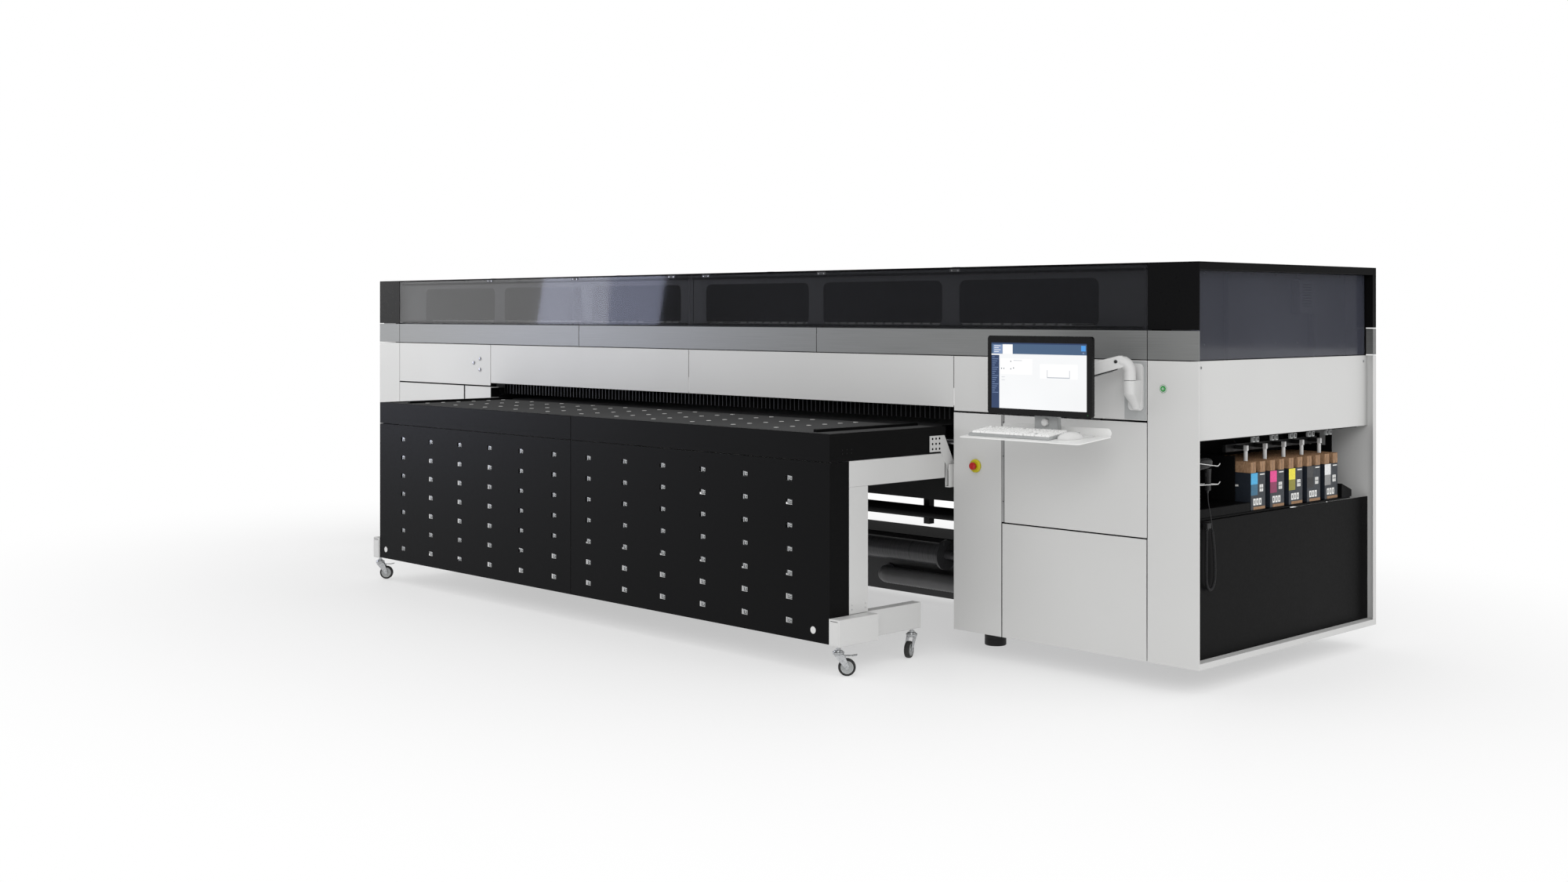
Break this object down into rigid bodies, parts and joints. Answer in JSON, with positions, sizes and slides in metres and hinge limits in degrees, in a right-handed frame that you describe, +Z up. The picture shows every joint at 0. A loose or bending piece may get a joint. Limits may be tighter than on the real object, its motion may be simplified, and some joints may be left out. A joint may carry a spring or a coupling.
{
  "type": "flatbed uv printer",
  "caption": "Wide-format UV printer with tinted hoods, a side ink bay, a monitor on an arm, and a wheeled board table docked in front.",
  "frame": {"origin": "middle of the footprint of the printer with its table docked, on the floor", "axes": "+X along the printer to the operator's right, +Y from the table to the back, +Z up"},
  "size_m": [6.22, 2.262, 1.739],
  "materials": {
    "white_paint": "satin warm light-grey powder coat",
    "grey_paint": "satin mid-grey paint",
    "black_paint": "fine-texture black powder coat",
    "dark_sheet": "dark grey satin sheet",
    "table_surface": "dark grey hard-coated bed plate",
    "tinted_glass": "smoke-tinted acrylic",
    "frame_steel": "black painted steel",
    "aluminium": "anodised extrusion",
    "zinc": "zinc-plated pressed steel",
    "caster_rubber": "black tyre on a grey nylon hub",
    "red_plastic": "gloss red",
    "control_yellow": "gloss yellow disc, green ring and steel locks",
    "button_green": "translucent green",
    "carton_board": "printed corrugated cardboard",
    "white_plastic": "white moulded plastic",
    "black_plastic": "black moulded plastic",
    "belt_rubber": "dark transport belt",
    "film": "dark film",
    "grey_plastic": "light grey plastic",
    "cord_jacket": "black cord jacket"
  },
  "bodies": {
    "printer": {"base_frame": "frame_steel", "levelling_feet": "black_plastic", "corner_columns": "white_paint", "front_panels": "white_paint", "grey_band": "grey_paint", "upper_frame": "black_paint", "side_windows": "tinted_glass", "window_frames": "dark_sheet", "rear_panels": "white_paint", "liner_panels": "black_paint", "control_bezels": "control_yellow", "gantry_beam": "aluminium", "cable_chain": "black_plastic", "maintenance_station": "zinc", "vacuum_bed": "aluminium", "transport_belt": "belt_rubber", "slot_comb": "black_plastic", "winder_housing": "black_paint", "ink_tray": "black_paint", "ink_connectors": "white_plastic", "scanner_dock": "zinc", "barcode_scanner": "black_plastic", "scanner_lead": "cord_jacket", "scanner_curl": "cord_jacket", "arm_mount": "white_plastic"},
    "carriage": {"print_carriage": "dark_sheet", "carriage_heads": "aluminium"},
    "hood_left": {"hood_left": "tinted_glass"},
    "hood_right": {"hood_right": "tinted_glass"},
    "service_door": {"service_door": "white_paint"},
    "emergency_stop": {"emergency_stop_button": "red_plastic"},
    "start_button": {"start_button": "button_green"},
    "idler_roller": {"idler_roller": "aluminium"},
    "drive_roller": {"drive_roller": "aluminium"},
    "guide_roller": {"guide_roller": "black_paint"},
    "media_roll": {"media_roll": "film"},
    "arm_link": {"arm_link": "white_plastic"},
    "station_head": {"head_bracket": "grey_plastic", "keyboard_tray": "white_paint", "keyboard": "white_plastic"},
    "monitor": {"monitor": "black_plastic"},
    "table": {"table_top": "table_surface", "table_panels": "black_paint", "table_trim": "grey_plastic", "table_frame": "white_paint"},
    "ink_carton_cyan": {"ink_carton_cyan": "carton_board"},
    "ink_carton_magenta": {"ink_carton_magenta": "carton_board"},
    "ink_carton_yellow": {"ink_carton_yellow": "carton_board"},
    "ink_carton_black": {"ink_carton_black": "carton_board"},
    "ink_carton_white": {"ink_carton_white": "carton_board"},
    "caster_fork_front_right": {"caster_fork_front_right": "zinc"},
    "caster_wheel_front_right": {"caster_wheel_front_right": "caster_rubber"},
    "caster_brake_front_right": {"caster_brake_front_right": "zinc"},
    "caster_fork_front_left": {"caster_fork_front_left": "zinc"},
    "caster_wheel_front_left": {"caster_wheel_front_left": "caster_rubber"},
    "caster_brake_front_left": {"caster_brake_front_left": "zinc"},
    "caster_fork_rear_right": {"caster_fork_rear_right": "zinc"},
    "caster_wheel_rear_right": {"caster_wheel_rear_right": "caster_rubber"},
    "caster_fork_rear_left": {"caster_fork_rear_left": "zinc"},
    "caster_wheel_rear_left": {"caster_wheel_rear_left": "caster_rubber"}
  },
  "joints": [
    {"name": "carriage_travel", "type": "slide", "parent": "printer", "child": "carriage", "axis": [-1, 0, 0], "range_m": [0, 4.5]},
    {"name": "hood_left_lift", "type": "hinge", "parent": "printer", "child": "hood_left", "pos_m": [-1.432, -0.3465, 1.729], "axis": [-1, 0, 0], "range_deg": [0, 95]},
    {"name": "hood_right_lift", "type": "hinge", "parent": "printer", "child": "hood_right", "pos_m": [1.432, -0.3465, 1.729], "axis": [-1, 0, 0], "range_deg": [0, 95]},
    {"name": "service_door_swing", "type": "hinge", "parent": "printer", "child": "service_door", "pos_m": [2.861, -0.349, 0.352], "axis": [0, 0, 1], "range_deg": [0, 110]},
    {"name": "emergency_stop_press", "type": "slide", "parent": "printer", "child": "emergency_stop", "axis": [0, 1, 0], "range_m": [0, 0.0035], "stiffness_N_per_m": 900},
    {"name": "start_press", "type": "slide", "parent": "printer", "child": "start_button", "axis": [0, 1, 0], "range_m": [0, 0.002], "stiffness_N_per_m": 500},
    {"name": "ink_carton_cyan_pull", "type": "slide", "parent": "printer", "child": "ink_carton_cyan", "axis": [1, 0, 0], "range_m": [0, 0.34]},
    {"name": "ink_carton_magenta_pull", "type": "slide", "parent": "printer", "child": "ink_carton_magenta", "axis": [1, 0, 0], "range_m": [0, 0.34]},
    {"name": "ink_carton_yellow_pull", "type": "slide", "parent": "printer", "child": "ink_carton_yellow", "axis": [1, 0, 0], "range_m": [0, 0.34]},
    {"name": "ink_carton_black_pull", "type": "slide", "parent": "printer", "child": "ink_carton_black", "axis": [1, 0, 0], "range_m": [0, 0.34]},
    {"name": "ink_carton_white_pull", "type": "slide", "parent": "printer", "child": "ink_carton_white", "axis": [1, 0, 0], "range_m": [0, 0.34]},
    {"name": "drive_roller_spin", "type": "hinge", "parent": "printer", "child": "drive_roller", "pos_m": [0, 1.041, 0.9415], "axis": [1, 0, 0], "continuous": true},
    {"name": "idler_roller_spin", "type": "hinge", "parent": "printer", "child": "idler_roller", "pos_m": [0, -0.259, 0.9415], "axis": [1, 0, 0], "continuous": true},
    {"name": "guide_roller_spin", "type": "hinge", "parent": "printer", "child": "guide_roller", "pos_m": [0, 0.001, 0.564], "axis": [1, 0, 0], "continuous": true},
    {"name": "media_roll_spin", "type": "hinge", "parent": "printer", "child": "media_roll", "pos_m": [0, 0.166, 0.335], "axis": [1, 0, 0], "continuous": true},
    {"name": "arm_swivel", "type": "hinge", "parent": "printer", "child": "arm_link", "pos_m": [2.821, -0.409, 1.3], "axis": [0, 0, 1], "range_deg": [0, 70]},
    {"name": "station_swivel", "type": "hinge", "parent": "arm_link", "child": "station_head", "pos_m": [2.54, -0.571, 1.262], "axis": [0, 0, 1], "range_deg": [-30, 20]},
    {"name": "monitor_tilt", "type": "hinge", "parent": "station_head", "child": "monitor", "pos_m": [2.54, -0.607, 1.232], "axis": [1, 0, 0], "range_deg": [-12, 5]},
    {"name": "table_undock", "type": "slide", "parent": "printer", "child": "table", "axis": [0, -1, 0], "range_m": [0, 1.2]},
    {"name": "caster_front_right_swivel", "type": "hinge", "parent": "table", "child": "caster_fork_front_right", "pos_m": [1.837, -1.104, 0.104], "axis": [0, 0, 1], "continuous": true},
    {"name": "caster_front_right_roll", "type": "hinge", "parent": "caster_fork_front_right", "child": "caster_wheel_front_right", "pos_m": [1.86201, -1.0781, 0.0375], "axis": [-0.7193, 0.6947, 0], "continuous": true},
    {"name": "caster_front_right_brake", "type": "hinge", "parent": "caster_fork_front_right", "child": "caster_brake_front_right", "pos_m": [1.8495, -1.09105, 0.086], "axis": [-0.7193, 0.6947, 0], "range_deg": [0, 17]},
    {"name": "caster_front_left_swivel", "type": "hinge", "parent": "table", "child": "caster_fork_front_left", "pos_m": [-1.837, -1.104, 0.104], "axis": [0, 0, 1], "continuous": true},
    {"name": "caster_front_left_roll", "type": "hinge", "parent": "caster_fork_front_left", "child": "caster_wheel_front_left", "pos_m": [-1.81199, -1.0781, 0.0375], "axis": [-0.7193, 0.6947, 0], "continuous": true},
    {"name": "caster_front_left_brake", "type": "hinge", "parent": "caster_fork_front_left", "child": "caster_brake_front_left", "pos_m": [-1.8245, -1.09105, 0.086], "axis": [-0.7193, 0.6947, 0], "range_deg": [0, 17]},
    {"name": "caster_rear_right_swivel", "type": "hinge", "parent": "table", "child": "caster_fork_rear_right", "pos_m": [1.778, -0.574, 0.104], "axis": [0, 0, 1], "continuous": true},
    {"name": "caster_rear_right_roll", "type": "hinge", "parent": "caster_fork_rear_right", "child": "caster_wheel_rear_right", "pos_m": [1.79149, -0.60738, 0.0375], "axis": [0.9272, 0.3746, 0], "continuous": true},
    {"name": "caster_rear_left_swivel", "type": "hinge", "parent": "table", "child": "caster_fork_rear_left", "pos_m": [-1.778, -0.574, 0.104], "axis": [0, 0, 1], "continuous": true},
    {"name": "caster_rear_left_roll", "type": "hinge", "parent": "caster_fork_rear_left", "child": "caster_wheel_rear_left", "pos_m": [-1.76451, -0.60738, 0.0375], "axis": [0.9272, 0.3746, 0], "continuous": true}
  ],
  "couplings": [
    {"joint": "idler_roller_spin", "follows": "drive_roller_spin", "ratio": 1}
  ]
}
